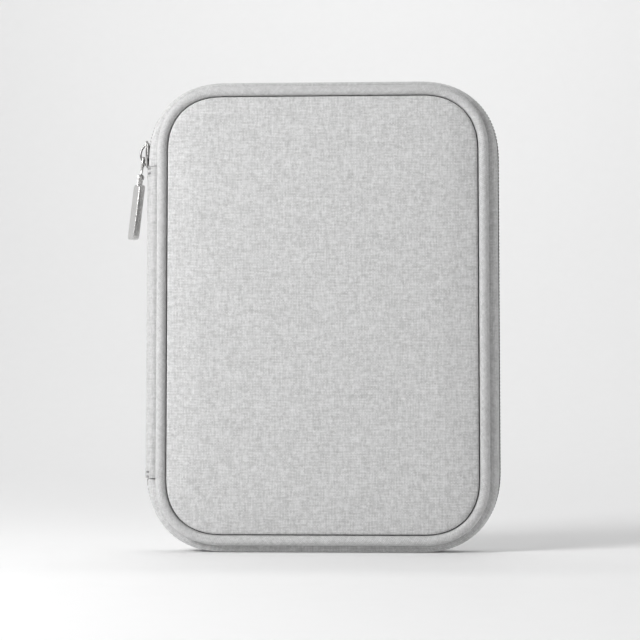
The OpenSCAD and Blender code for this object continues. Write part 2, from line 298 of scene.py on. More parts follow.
def linen(name, light, dark, pitch, turn=0.0, heather=1.0):
    """A plain weave of heathered threads: some stretches of each thread are dyed darker, and the gaps
    between the threads are painted darker as shade.
    """
    cloth = Finish(name, Sheen_Weight=0.25, Sheen_Roughness=0.5, Specular_IOR_Level=0.25)
    lay = cloth.threads(pitch, turn)
    split = cloth.add("SeparateXYZ", None, {0: lay})
    warp, weft = split.wave(), split.out(1).wave()
    over = warp * weft * 0.5 + 0.5
    height = (abs(warp) * over).most(abs(weft) * (1 - over))
    warp_dye = cloth.speckle(cloth.placed(lay, (1, 0.28, 1), shift=(0, 0, 2.6)), 0.95, 1.0)
    weft_dye = cloth.speckle(cloth.placed(lay, (0.28, 1, 1), shift=(0, 0, 9)), 0.95, 1.0)
    streak = cloth.speckle(cloth.placed(lay, (0.4, 0.04, 1), shift=(0, 0, 4)), 1.0, 1.0)
    bar = cloth.speckle(cloth.placed(lay, (0.05, 0.5, 1), shift=(0, 0, 6)), 1.0, 1.0)
    dye = warp_dye * over + weft_dye * (1 - over)
    tone = (dye - 0.5) * (2.1 * heather) + (streak + bar - 1) * (0.1 * heather) + 0.22
    # Painted shade: the colour is lighter on the threads' crowns and darker in the gaps between them.
    tone = tone + height * 0.58
    slub = height + dye * 0.7
    roughness = 0.97 - height * 0.12
    return cloth.shade(Base_Color=cloth.mix(tone, dark, light), Roughness=roughness,
                       Normal=cloth.bump(slub, 0.15 * MM, 0.55))


THREAD_PITCH = 0.9 * MM
outer_cloth = linen("heathered linen weave", grey(0.66), grey(0.40), THREAD_PITCH)


def panel_grid(place, cells, extra, ease):
    """An even grid laid out to an outline: points in X and Z, how deep in each is, and its faces."""
    half_w, low, high, corner = place
    rings = cells // 2
    tall = cells + extra
    spots = np.zeros((cells + 1, tall + 1, 2))
    inward = np.zeros((cells + 1, tall + 1))
    for k in range(rings + 1):
        inset = half_w * (k / rings) ** ease
        x, z = fine_outline((half_w - inset, low + inset, high - inset, max(corner - inset, 0.0)))
        x, z = np.concatenate([x, x[1:]]), np.concatenate([z, z[1:]])
        gone = travelled(x, z)
        ends = [*MIDDLES, MIDDLES[0] + 165]
        wide, side = range(k, cells - k + 1), range(k, tall - k + 1)
        paths = ([(i, tall - k) for i in wide], [(cells - k, j) for j in reversed(side)],
                 [(i, k) for i in reversed(wide)], [(k, j) for j in side])
        for path, a, b in zip(paths, ends, ends[1:]):
            at = np.linspace(gone[a], gone[b], len(path))
            for (i, j), px, pz in zip(path, np.interp(at, gone, x), np.interp(at, gone, z)):
                spots[i, j], inward[i, j] = (px, pz), inset
    number = np.arange((cells + 1) * (tall + 1)).reshape(cells + 1, tall + 1)
    faces = [(number[i, j], number[i + 1, j], number[i + 1, j + 1], number[i, j + 1])
             for i in range(cells) for j in range(tall)]
    return spots.reshape(-1, 2), inward.ravel(), faces


def pad(name, grid, side, face, rim, back):
    """A closed pad on a grid: its face's depth at each point, its rim's depth and its flat back's."""
    spots, inward, faces = grid
    edge = inward < 1e-9
    count = len(spots)
    other = np.where(edge, np.arange(count), count + np.cumsum(~edge) - 1)
    near = [(x, side * (rim if e else d), z) for (x, z), d, e in zip(spots, face, edge)]
    far = [(x, side * back, z) for (x, z), e in zip(spots, edge) if not e]
    weave = [spots[n] for f in faces for n in f]
    behind = [tuple(other[n] for n in reversed(f)) for f in faces]
    weave += [spots[n] for f in faces for n in reversed(f)]
    return make(name, near + far, faces + behind, weave), count


def swell(piece, held, most, pressure=4.0, frames=20):
    """Cloth simulation: the piece fills out under pressure while its held points stay put."""
    group = piece.vertex_groups.new(name="sewn")
    group.add([int(n) for n in np.flatnonzero(held)], 1.0, "REPLACE")
    cloth = piece.modifiers.new("cloth", "CLOTH")
    stuff = cloth.settings
    stuff.quality, stuff.mass, stuff.vertex_group_mass = 5, 0.3, "sewn"
    stuff.tension_stiffness = stuff.compression_stiffness = 15
    stuff.shear_stiffness, stuff.bending_stiffness = 5, 0.5
    stuff.use_pressure, stuff.uniform_pressure_force = True, pressure
    stuff.effector_weights.gravity = 0
    cloth.collision_settings.use_collision = False
    cloth.collision_settings.use_self_collision = False
    cloth.point_cache.frame_end = frames
    for step in range(1, frames + 1):
        bpy.context.scene.frame_set(step)
    swollen = piece.evaluated_get(bpy.context.evaluated_depsgraph_get()).to_mesh()
    count = len(piece.data.vertices)
    now, before = np.zeros(count * 3), np.zeros(count * 3)
    swollen.vertices.foreach_get("co", now)
    piece.data.vertices.foreach_get("co", before)
    move = (now - before).reshape(-1, 3)
    size = np.linalg.norm(move, axis=1, keepdims=True)
    move *= np.minimum(1, most / np.maximum(size, 1e-9))
    piece.modifiers.remove(cloth)
    piece.vertex_groups.remove(group)
    piece.data.vertices.foreach_set("co", (before.reshape(-1, 3) + move).ravel())
    piece.data.update()
    bpy.context.scene.frame_set(1)


cover_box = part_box("front_cover")
PANEL_BACK, PANEL_FACE = -cover_box[1].y, -cover_box[0].y
ROLL_W, ROLL_H = 7.5 * MM, 2.35 * MM  # The face rolls up over this width from its seam
CROWN_W = 16 * MM
SWELL = 0.5 * MM
HELD_W = 1.0 * MM  # The seam keeps this much of the cloth's edge from swelling
panel_place = station(1, PANEL_INSET)
panel_cells = panel_grid(panel_place, 64, 21, 1.35)


def panel(name, side):
    inward = panel_cells[1]
    rim = PANEL_BACK + 0.4 * MM
    roll = ROLL_H * np.sqrt(1 - (1 - np.minimum(inward / ROLL_W, 1)) ** 2)
    crown = (PANEL_FACE - rim - ROLL_H - SWELL) * (1 - np.exp(-inward / CROWN_W))
    pillow, count = pad(name, panel_cells, side, rim + roll + crown, rim, PANEL_BACK)
    held = np.ones(len(pillow.data.vertices), bool)
    held[:count] = inward < HELD_W
    swell(pillow, held, SWELL)
    pillow.data.materials.append(outer_cloth)
    return rounded(pillow)


for side, half in HALVES:
    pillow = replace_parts(panel(half + "_panel", side), half + "_cover", half + "_padding")
    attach(pillow, half + "_half")

# The board behind each panel is dark pressed foam, glued between the foam and the lining. It only
# shows at a worn seam, so the frame's own boards keep their shape and get its dull, pitted finish.

felt = Finish("pressed foam board", Specular_IOR_Level=0.2)
pits = felt.speckle(felt.add("TexCoord", output="Object"), 900, 3.0)
board_finish = felt.shade(Base_Color=felt.mix(pits, grey(0.035), grey(0.075)),
                          Roughness=0.86 + pits * 0.1, Normal=felt.bump(pits, 0.1 * MM, 0.5))
for name in ("front_board", "back_board"):
    frame["nodes"][name].data.materials.clear()
    frame["nodes"][name].data.materials.append(board_finish)

# ---- Piping ----
# A soft cord in a strip of the same cloth, cut on the bias so that it bends round the corners. It is
# sewn into the seam between panel and side wall, which pinches the strip behind the cord.

PIPING_R = (piping_box[1].y - piping_box[0].y) / 2
PIPING_DEPTH = -(piping_box[0].y + piping_box[1].y) / 2
PINCH, PINCH_ANGLE = 0.16, math.radians(222)
# Painted shade: the piping's cloth is the panels' linen painted a little darker, 0.61 and 0.38 against
# 0.66 and 0.40.
bias_cloth = linen("bias-cut linen weave", grey(0.61), grey(0.38), THREAD_PITCH, math.radians(45), 0.8)


def piping(name, side):
    lines = []
    for turn in np.linspace(0, 2 * math.pi, 20, endpoint=False):
        radius = PIPING_R * (1 + PINCH * max(0, math.cos(turn - PINCH_ANGLE)) ** 5)
        inset = PIPING_R - radius * math.cos(turn)
        lines.append(route(1, inset, PIPING_DEPTH + radius * math.sin(turn), side))
    cord = skin(name, lines, closed=True)
    cord.data.materials.append(bias_cloth)
    return rounded(cord)


for side, half in HALVES:
    cord = piping(half + "_piping_cover", side)
    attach(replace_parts(cord, half + "_piping", half + "_piping_cord"), half + "_half")

# ---- Side walls ----
# A strip of the linen cloth round each half, from the piping's seam out to the zip. Its zip edge is
# folded under and topstitched to the zip's tape. The strip stops at the spine.

spine_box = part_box("spine_cover")
SPINE_LOW, SPINE_HIGH = spine_box[0].z, spine_box[1].z
SPINE_GAP = 0.1 * MM
HEM_DEPTH, STITCH_DEPTH = 4.7 * MM, 6.3 * MM
# Painted shade: the side walls' cloth is the panels' linen painted a little darker, 0.63 and 0.38 against
# 0.66 and 0.40.
wall_cloth = linen("side wall linen weave", grey(0.63), grey(0.38), THREAD_PITCH, 0.0, 0.9)
wall_path = {"start": SPINE_HIGH + SPINE_GAP, "stop": SPINE_LOW - SPINE_GAP}


def wall_line(side, depth, inset, share=None):
    return route(flare(depth) if share is None else share, inset, depth, side, **wall_path)


def side_wall(half, side):
    outer = [(HEM_DEPTH, 0.45, None), (4.85 * MM, 0.12, None), (5.3 * MM, -0.05, None),
             (STITCH_DEPTH - 0.5 * MM, 0.0, None), (STITCH_DEPTH, 0.16, None),
             (STITCH_DEPTH + 0.5 * MM, 0.0, None), (8.0 * MM, 0.0, None), (9.0 * MM, 0.05, None),
             (9.5 * MM, 0.6, None), (9.85 * MM, 2.2, 0.85), (10.1 * MM, 5.4, 1.0)]
    inner = [(9.2 * MM, 5.4, 1.0), (9.0 * MM, 2.6, 0.85), (8.7 * MM, 1.3, None),
             (8.4 * MM, 1.0, None), (7.6 * MM, 0.9, None), (6.8 * MM, 0.9, None),
             (STITCH_DEPTH, 1.0, None), (5.8 * MM, 0.95, None), (5.3 * MM, 0.95, None),
             (4.9 * MM, 0.85, None), (4.75 * MM, 0.6, None)]
    lines = [wall_line(side, depth, inset * MM, share) for depth, inset, share in outer + inner]
    wall = skin(half + "_side_wall", lines)
    wall.data.materials.append(wall_cloth)
    wall = rounded(wall)
    return wall


def spaced(share, inset, depth, side, pitch, begin, end, phase=0.0):
    """Evenly spaced places round the case with the way along and the way in, as three arrays."""
    x, z, gone, stops = marks(station(share, inset), begin, end)
    count = round((stops[-1] - stops[0]) / pitch)
    at = stops[0] + (np.arange(count) + phase) * (stops[-1] - stops[0]) / count
    near = 0.3 * MM
    a, b = ([np.interp(at + d, gone, c) for c in (x, z)] for d in (-near, near))
    way = np.stack([b[0] - a[0], 0 * at, b[1] - a[1]], axis=1) / (2 * near)
    way /= np.linalg.norm(way, axis=1, keepdims=True)
    place = np.stack([np.interp(at, gone, x), 0 * at + side * depth, np.interp(at, gone, z)], axis=1)
    return place, way, np.stack([way[:, 2], 0 * at, -way[:, 0]], axis=1)


THREAD_R = 0.2 * MM


def spun(name, dark, light, rough, **same):
    """Sewing thread: its twist gives it fine uneven flecks."""
    thread = Finish(name, Specular_IOR_Level=0.3, **same)
    twist = thread.speckle(thread.add("TexCoord", output="Object"), 2500, 1.0)
    return thread.shade(Base_Color=thread.mix(twist, grey(dark), grey(light)), Roughness=rough,
                        Normal=thread.bump(twist, 0.04 * MM, 0.6))


pale_thread = spun("sewing thread", 0.50, 0.68, 0.75, Sheen_Weight=0.3)


def stitches(name, places, ways, outs, long=2.3 * MM, finish=pale_thread):
    """One run of stitches: each a short length of thread that dives into the cloth at both ends."""
    points, faces = [], []
    hoop = [(math.cos(a), math.sin(a)) for a in np.linspace(0, 2 * math.pi, 6, endpoint=False)]
    for place, way, out in zip(map(np.array, places), map(np.array, ways), map(np.array, outs)):
        beside = np.cross(way, out)
        faces += hoops(4, 6, len(points))
        for at, lift, width in ((-0.5, -1.0, 0.5), (-0.34, 0.1, 1), (0.34, 0.1, 1), (0.5, -1.0, 0.5)):
            centre = place + way * at * long + out * lift * THREAD_R
            points += [centre + (beside * c + out * s) * THREAD_R * width for c, s in hoop]
    run = make(name, points, faces)
    run.data.materials.append(finish)
    return run


for side, half in HALVES:
    wall = side_wall(half, side)
    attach(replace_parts(wall, half + "_gusset"), half + "_half")
    place, way, inward = spaced(flare(STITCH_DEPTH), 0.1 * MM, STITCH_DEPTH, side, 3 * MM,
                               wall_path["start"], wall_path["stop"], 0.5)
    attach(stitches(half + "_topstitch", place, way, -inward), half + "_half")

# ---- Zip ----
# Two woven tapes line the side walls, each with a row of moulded teeth clamped on a cord at its edge.
# The two rows lock into each other from the slider round to a metal stop at the lower end.

stop_box, slider_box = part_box("zip_end_stop"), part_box("slider_body")
TOOTH_PITCH = 2.0 * MM
TOOTH_T = 2.3 * MM
tape_path = {"start": slider_box[0].z + 1.0 * MM, "stop": stop_box[0].z - 0.6 * MM}

tape = Finish("woven zip tape", Sheen_Weight=0.2, Specular_IOR_Level=0.3)
tape_lay = tape.add("SeparateXYZ", None, {0: tape.threads(0.5 * MM)})
rib = tape_lay.out(1).wave()
herring = (tape_lay + abs(rib) * 0.8).wave()
tape_height = abs(herring) * 0.6 + abs(rib) * 0.4
# Painted shade: the tape's colour follows its weave's relief, darker in the grooves between the ribs.
tape_finish = tape.shade(Base_Color=tape.mix(tape_height, grey(0.16), grey(0.33)), Roughness=0.85,
                         Normal=tape.bump(tape_height, 0.08 * MM, 0.7))

moulded = Finish("moulded zip teeth", Specular_IOR_Level=0.5)
rub = moulded.speckle(moulded.add("TexCoord", output="Object"), 700, 2.0)
teeth_finish = moulded.shade(Base_Color=moulded.mix(rub, grey(0.06), grey(0.13)),
                             Roughness=0.3 + rub * 0.25, Normal=moulded.bump(rub, 0.02 * MM, 0.4))


def zip_tape(name, side):
    near = [(1.6, 1.05, None), (3.2, 1.0, None), (4.8, 1.0, None), (6.3, 1.05, None), (7.8, 1.1, None),
            (8.25, 1.8, None), (8.55, 3.2, 0.85), (8.75, 5.5, 1)]
    far = [(8.25, 5.5, 1), (8.05, 3.4, 0.85), (7.8, 2.2, None), (7.5, 1.7, None), (6.3, 1.55, None),
           (4.8, 1.5, None), (3.2, 1.5, None), (1.6, 1.55, None)]
    lines = [route(share or flare(depth * MM), inset * MM, depth * MM, side, **tape_path)
             for depth, inset, share in near + far]
    strip = skin(name, lines)
    strip.data.materials.append(tape_finish)
    return strip


def tooth_outline():
    """Half of a tooth seen flat, as (across the zip, half its width): clamp, neck and head."""
    return [(3.0, 0.55), (2.8, 0.68), (1.9, 0.68), (1.3, 0.44), (0.75, 0.42), (0.3, 0.58),
            (-0.25, 0.56), (-0.6, 0.36), (-0.7, 0.12)]


def zip_teeth(name, side):
    outline = tooth_outline()
    flat = outline + [(y, -w) for y, w in reversed(outline)]
    layers = ((0.0, 0.78), (0.28, 1.0), (TOOTH_T / MM - 0.28, 1.0), (TOOTH_T / MM, 0.78))
    phase = 0.25 if side == FRONT else 0.75
    place, way, inward = spaced(0, 0.25 * MM, 0, side, TOOTH_PITCH, *tape_path.values(), phase)
    points, faces = [], []
    for p, w, n in zip(place, way, inward):
        faces += hoops(len(layers), len(flat), len(points))
        for deep, width in layers:
            points += [p + n * deep * MM + w * width * half * MM
                       + np.array([0, side * (1.1 + (y - 1.1) * (0.5 + width / 2)) * MM, 0])
                       for y, half in flat]
    row = make(name, points, faces)
    row.data.materials.append(teeth_finish)
    return row


for side, half in HALVES:
    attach(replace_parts(zip_tape(half + "_tape", side), half + "_zip_tape"), half + "_half")
    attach(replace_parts(zip_teeth(half + "_teeth", side), half + "_zip_teeth"), half + "_half")


def rounded_box(low, high, radius):
    """A block with rounded edges."""
    shape = bmesh.new()
    bmesh.ops.create_cube(shape, size=1)
    size = [b - a for a, b in zip(low, high)]
    middle = [(a + b) / 2 for a, b in zip(low, high)]
    bmesh.ops.scale(shape, vec=size, verts=shape.verts)
    bmesh.ops.translate(shape, vec=middle, verts=shape.verts)
    bmesh.ops.bevel(shape, geom=shape.edges[:], offset=radius, segments=3, affect="EDGES",
                    profile=0.5)
    points = [tuple(v.co) for v in shape.verts]
    faces = [[v.index for v in f.verts] for f in shape.faces]
    shape.free()
    return points, faces


def joined(name, parts, finish):
    """One object from several closed shapes."""
    points, faces = [], []
    for more_points, more_faces in parts:
        base = len(points)
        points += list(more_points)
        faces += [[base + n for n in f] for f in more_faces]
    piece = make(name, points, faces)
    piece.data.materials.append(finish)
    return piece


def metal(name, tone, rough, scratch):
    """Plated metal: fine handling scratches along it and a little unevenness in its polish."""
    plate = Finish(name, Metallic=1.0)
    where = plate.add("TexCoord", output="Object")
    cloud = plate.speckle(where, 180, 2.0)
    fine = plate.speckle(plate.placed(where, (9, 9, 1)), 500, 2.0)
    return plate.shade(Base_Color=plate.mix(cloud, grey(tone * 0.9, 0.01), grey(tone, 0.01)),
                       Roughness=rough + (cloud - 0.5) * 0.12 + (fine - 0.5) * scratch,
                       Normal=plate.bump(fine, 0.01 * MM, 0.25))


nickel = metal("satin nickel plate", 0.58, 0.25, 0.16)
# Painted shade: the polished slider plate is given a darker colour than the satin plate, standing in for
# the dark surroundings it would reflect.
bright = metal("bright nickel plate", 0.42, 0.16, 0.10)

# The stop is a strip of metal folded round both tapes' edges and pressed shut.

stop_low, stop_high = stop_box
jaw = 0.8 * MM
stop = joined("zip_bottom_stop", [
    rounded_box(stop_low, (stop_low.x + jaw, stop_high.y, stop_high.z), 0.25 * MM),
    rounded_box((stop_high.x - jaw, stop_low.y, stop_low.z), stop_high, 0.25 * MM),
    rounded_box((stop_low.x + 0.3 * MM, -0.9 * MM, stop_low.z + 0.4 * MM),
                (stop_high.x - 0.3 * MM, 0.9 * MM, stop_high.z - 0.4 * MM), 0.2 * MM),
], nickel)
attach(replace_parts(stop, "zip_end_stop"), "spine")

# ---- Spine ----
# One strip of linen cloth over a thin stiffener, sewn into both halves' piping seams so that it folds
# along them. Both ends are hemmed, and bar tacks hold the zip's ends beside it.

SPINE_X = -ZIP_HALF_W + FLARE_R
SPINE_OUT, SPINE_IN = FLARE_R + 0.6 * MM, FLARE_R - 0.2 * MM
SPINE_EDGE = spine_box[1].y
HEM_W, HEM_STITCH = 5.5 * MM, 4.6 * MM  # In from each end of the strip
PIPING_EDGE = np.array([piping_box[0].x, 0])  # The seams' points are measured from here
# Painted shade: the spine's cloth is the panels' linen painted darker, 0.57 and 0.34 against 0.66 and
# 0.40, to stand in for the shade on the spine.
spine_cloth = linen("spine linen weave", grey(0.57), grey(0.34), THREAD_PITCH, math.radians(90), 0.9)


def matched(piece, side):
    """Makes a piece's weave and shading run on over the spine's middle into the other side's."""
    for corner in piece.data.uv_layers[WEAVE].data:
        corner.uv.y *= side
    for face in piece.data.polygons:
        face.use_smooth = abs(face.center.y) > 0.01 * MM
    return piece


def spine_cover(name, side):
    levels = np.concatenate([[0, 0.25, 0.7, 2, 4, 5.2, 5.8, 7], np.linspace(11, 169, 40)]) * MM
    tall = SPINE_HIGH - SPINE_LOW
    levels = np.unique(np.concatenate([levels[levels < tall / 2], tall - levels[levels < tall / 2]]))
    fold = math.asin(SPINE_EDGE / SPINE_OUT) - 0.08
    turns = np.linspace(0, fold, 19)
    tuck = PIPING_EDGE + np.array([(-2.3, 10.8), (-1.4, 10.9), (-0.1, 10.75), (1.3, 10.45)]) * MM
    outer = [(SPINE_X - SPINE_OUT * math.cos(a), SPINE_OUT * math.sin(a)) for a in turns] + list(tuck)
    inner = list(tuck - (0, 0.7 * MM))[::-1]
    inner += [(SPINE_X - SPINE_IN * math.cos(a), SPINE_IN * math.sin(a)) for a in turns[::-1]]
    lines = []
    for n, (x, y) in enumerate(outer + inner):
        away = np.array([x - SPINE_X, y]) / math.hypot(x - SPINE_X, y)
        line = []
        for level in levels:
            end = min(level, tall - level)
            hem = 0.28 * MM if end < HEM_W else 0.0
            dip = -0.12 * MM if abs(end - HEM_STITCH) < 0.7 * MM else 0.0
            tip = -0.3 * MM if end < 0.1 * MM else 0.0
            shift = hem + dip + tip if n < len(turns) else -tip if n >= len(outer) else 0.0
            line.append((x + away[0] * shift, side * (y + away[1] * shift), SPINE_LOW + level))
        lines.append(line)
    cover = matched(skin(name, lines), side)
    cover.data.materials.append(spine_cloth)
    return cover


def folding(piece):
    """Bakes a piece's placement into its points; the piece is not bent."""
    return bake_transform(piece)


for side, half in HALVES:
    cover = spine_cover("spine_cloth_" + half, side)
    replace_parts(cover, "spine_cover", "spine_stiffener")
    folding(cover)

tack_thread = spun("bar tack thread", 0.16, 0.30, 0.7)


def spine_sewing(name, side, ends, turns, proud, upright, **how):
    """Stitches round half of the spine, at distances in from its ends."""
    rows = []
    for level in [SPINE_HIGH - end for end in ends] + [SPINE_LOW + end for end in ends]:
        for turn in turns * side:
            out = np.array([-math.cos(turn), math.sin(turn), 0])
            way = np.array([0, 0, 1] if upright else [math.sin(turn), math.cos(turn), 0])
            rows.append((np.array([SPINE_X, 0, level]) + out * (SPINE_OUT + proud), way, out))
    folding(stitches(name, *zip(*rows), **how))


for side, half in HALVES:
    spine_sewing(f"spine_hem_stitch_{half}", side, [HEM_STITCH], np.linspace(0.1, 0.62, 5),
                 0.2 * MM, upright=False, long=2.2 * MM)
    spine_sewing(f"spine_bar_tack_{half}", side, [0.9 * MM, 3.6 * MM], np.linspace(0.50, 0.68, 9),
                 0.35 * MM, upright=True, long=1.3 * MM, finish=tack_thread)

# ---- Lining ----
# Smooth dark polyester over each half's inner face and across the spine. Bias tape binds the raw
# edges where lining, panel and side wall are sewn together.

BINDING_W, BINDING_T = 2.4 * MM, 1.6 * MM
inner = Finish("smooth twill lining", Sheen_Weight=0.15, Specular_IOR_Level=0.35)
inner_lay = inner.threads(0.34 * MM)
inner_split = inner.add("SeparateXYZ", None, {0: inner_lay})
twill = (inner_split + inner_split.out(1)).wave()
fleck = inner.speckle(inner.placed(inner_lay, (0.3, 0.05, 1)), 1.0, 1.0)
# Painted shade: half of the lining's colour follows the twill's relief, darker in its grooves; the other
# half is random flecks in the yarn.
lining_finish = inner.shade(
    Base_Color=inner.mix(abs(twill) * 0.5 + fleck * 0.5, grey(0.045, -0.03), grey(0.095, -0.03)),
    Roughness=0.72 + fleck * 0.15, Normal=inner.bump(abs(twill), 0.05 * MM, 0.5))

lining_cells = panel_grid(station(1, PANEL_INSET + 0.1 * MM), 36, 13, 1.2)
lining_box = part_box("back_lining")
LINING_DEPTH = lining_box[0].y
BINDING_INSET, BINDING_DEPTH = PANEL_INSET - 0.4 * MM, LINING_DEPTH - 0.1 * MM


def lining(name, side):
    inward = lining_cells[1]
    puff = 0.12 * MM * (1 - np.exp(-inward / (12 * MM)))
    face = LINING_DEPTH + 0.1 * MM - puff
    sheet, _ = pad(name, lining_cells, side, face, LINING_DEPTH + 0.4 * MM, LINING_DEPTH + 0.8 * MM)
    sheet.data.materials.append(lining_finish)
    return sheet


def binding(name, side):
    lines = []
    for turn in np.linspace(0, 2 * math.pi, 16, endpoint=False):
        c, s = math.cos(turn), math.sin(turn)
        across = BINDING_W / 2 * math.copysign(abs(c) ** 0.7, c)
        thick = BINDING_T / 2 * math.copysign(abs(s) ** 0.7, s)
        inset = BINDING_INSET + BINDING_W / 2 + across
        lines.append(route(1, inset, BINDING_DEPTH - BINDING_T / 2 + thick, side))
    band = skin(name, lines, closed=True)
    band.data.materials.append(lining_finish)
    return band


dark_thread = spun("dark sewing thread", 0.10, 0.18, 0.7)

for side, half in HALVES:
    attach(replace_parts(lining(half + "_inner_lining", side), half + "_lining"), half + "_half")
    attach(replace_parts(binding(half + "_bias_binding", side), half + "_binding"), half + "_half")
    along = BINDING_INSET + BINDING_W * 0.62
    place, way, _ = spaced(1, along, BINDING_DEPTH - BINDING_T, side, 3 * MM, None, None, 0.5)
    outs = np.tile([0.0, -side, 0.0], (len(place), 1))
    run = stitches(half + "_binding_stitch", place, way, outs, finish=dark_thread)
    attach(run, half + "_half")


def spine_lining(name, side):
    """From the middle of the spine round to the binding, where its edge is sewn in."""
    near, far = FLARE_R - 1.9 * MM, FLARE_R - 1.1 * MM
    turns = np.linspace(0, math.asin(8.9 * MM / near), 13)
    seam = PIPING_EDGE + np.array([(0.9, 9.2), (3.3, 9.25), (6.8, 9.2)]) * MM
    shown = [(SPINE_X - near * math.cos(a), near * math.sin(a)) for a in turns] + list(seam)
    hidden = list(seam + (0, 0.5 * MM))[::-1]
    hidden += [(SPINE_X - far * math.cos(a), far * math.sin(a)) for a in turns[::-1] * 0.97]
    levels = np.linspace(SPINE_LOW + 0.4 * MM, SPINE_HIGH - 0.4 * MM, 46)
    strip = matched(skin(name, [[(x, side * y, z) for z in levels] for x, y in shown + hidden]), side)
    strip.data.materials.append(lining_finish)
    return strip


for side, half in HALVES:
    strip = spine_lining("spine_lining_" + half, side)
    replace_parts(strip, "spine_lining")
    folding(strip)

# ---- Corner straps ----
# Four bands of woven elastic cross the back half's corners and hold the tablet's corners. They stand
# off the lining, and their ends are sewn in under the binding.

STRAP_T = 1.0 * MM
STRAP_HALF_W = 10 * MM
STRAP_REACH = 36 * MM
strap_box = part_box("strap_top_right")
STRAP_RISE = LINING_DEPTH - strap_box[0].y - STRAP_T
STRAP_CORNER = 21 * MM
elastic = Finish("woven elastic", Sheen_Weight=0.15, Specular_IOR_Level=0.3)
elastic_lay = elastic.add("SeparateXYZ", None, {0: elastic.threads(0.8 * MM)})
cord_rib, cross_rib = elastic_lay.out(1).wave(), (elastic_lay * 1.9).wave()
ribs = abs(cord_rib) * (0.75 + abs(cross_rib) * 0.25)
# Painted shade: the elastic's colour follows its ribs' relief, darker in the grooves between them.
elastic_finish = elastic.shade(Base_Color=elastic.mix(ribs, grey(0.025), grey(0.085)), Roughness=0.8,
                               Normal=elastic.bump(ribs, 0.12 * MM, 0.8))


def strap(name, across, up):
    half_w, low, high, _ = station(1, PANEL_INSET + 2.6 * MM)
    rise = (high - low) / 2 - STRAP_CORNER
    centre = np.array([across * (half_w - STRAP_CORNER), 0, (low + high) / 2 + up * rise])
    way = np.array([across, 0, -up]) / math.sqrt(2)
    corner = np.array([across, 0, up]) / math.sqrt(2)
    widths = np.linspace(-STRAP_HALF_W, STRAP_HALF_W, 9)
    lines = []
    for top, v in [(True, v) for v in widths] + [(False, v) for v in widths[::-1]]:
        reach = min(STRAP_REACH, STRAP_CORNER * math.sqrt(2) - v)
        edge = 0.15 * MM * (abs(v) / STRAP_HALF_W) ** 6
        line = []
        for share in np.linspace(-1, 1, 41):
            fall = min(1, max(0, (abs(share) - 0.45) / 0.47))
            lift = STRAP_RISE * (1 - fall * fall * (3 - 2 * fall))
            depth = BINDING_DEPTH - lift - (STRAP_T - edge if top else edge)
            line.append(centre + way * share * reach + corner * v + np.array([0, depth, 0]))
        lines.append(line)
    band = skin(name, lines)
    band.data.materials.append(elastic_finish)
    return band


for across, along_name in ((-1, "left"), (1, "right")):
    for up, end_name in ((1, "top"), (-1, "bottom")):
        name = f"{end_name}_{along_name}"
        band = strap(f"corner_strap_{name}", across, up)
        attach(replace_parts(band, f"strap_{name}"), "back_half")

# ---- Mesh pocket ----
# A piece of soft knitted net on the front half's lining, sewn down along three sides, with a band of
# woven elastic along its mouth. Between its seams it stands off the lining.

pocket_box, mouth_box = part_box("mesh_pocket"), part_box("mesh_pocket_elastic")
POCKET_FACE = -pocket_box[0].y
SIDE_CURVE, FOOT_CURVE = 7 * MM, 9 * MM  # The net comes down to its seams over these widths
net = Finish("knitted net", Sheen_Weight=0.2, Specular_IOR_Level=0.3)
net_lay = net.threads(2.1 * MM)
net_split = net.add("SeparateXYZ", None, {0: net_lay})
holes = abs((net_split + net_split.out(1) * 0.5).wave() * (net_split - net_split.out(1) * 0.5).wave())
solid_net = net.add("ValToRGB", {"stops": [(0.30, (1, 1, 1, 1)), (0.42, (0, 0, 0, 1))]}, {0: holes})
knit = net.speckle(net_lay, 3.0, 1.0)
net_finish = net.shade(Base_Color=net.mix(knit, grey(0.03), grey(0.09)), Roughness=0.85,
                       Alpha=solid_net, Normal=net.bump(1 - holes, 0.2 * MM, 0.6))


def pocket_depth(x, z, low, high, face):
    """How far from the zip's plane the pocket's net lies: on the lining at its sewn sides."""
    side = min(1, max(0, (high.x - abs(x)) / SIDE_CURVE))
    foot = min(1, max(0, (z - low.z) / FOOT_CURVE))
    lift = math.sqrt(side * (2 - side)) * math.sqrt(foot * (2 - foot))
    return LINING_DEPTH - 0.15 * MM + (face - LINING_DEPTH + 0.15 * MM) * lift


near_edge = np.geomspace(0.004, 0.1, 8)
columns = np.unique(np.concatenate([np.linspace(-1, 1, 45), 1 - near_edge, near_edge - 1]))
columns = columns * pocket_box[1].x
levels = pocket_box[0].z + np.concatenate([[0, 0.4, 1.2, 2.4, 4, 6, 9], np.linspace(13, 131.5, 34)]) * MM
net_lines = [[(x, -pocket_depth(x, z, *pocket_box, POCKET_FACE), z) for x in columns] for z in levels]
net_pocket = skin("net_pocket", net_lines, tube=False)
net_pocket.data.materials.append(net_finish)
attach(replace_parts(net_pocket, "mesh_pocket"), "front_half")

mouth_lines = []
band_half = [(0.25, 0.0), (0.5, 0.5), (0.5, 2.0), (0.5, 4.0), (0.5, 6.0), (0.5, 7.5), (0.25, 8.0)]
for lift, z in [(-lift, z) for lift, z in band_half] + band_half[::-1]:
    line = []
    for x in columns * (mouth_box[1].x - 0.5 * MM) / pocket_box[1].x:
        ruffle = 0.18 * MM * math.sin(x * 900)
        depth = pocket_depth(x, 1.0, *mouth_box, POCKET_FACE + 0.3 * MM) + ruffle
        line.append((x, -depth - lift * MM, mouth_box[0].z - 0.6 * MM + z * MM))
    mouth_lines.append(line)
mouth = skin("net_pocket_elastic", mouth_lines)
mouth.data.materials.append(elastic_finish)
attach(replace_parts(mouth, "mesh_pocket_elastic"), "front_half")

# ---- Slider ----
# Two plated plates joined by a post inside the zip, with turned-in side flanges and an arched bridge
# on the outer plate. It is die-cast, so its edges are soft.

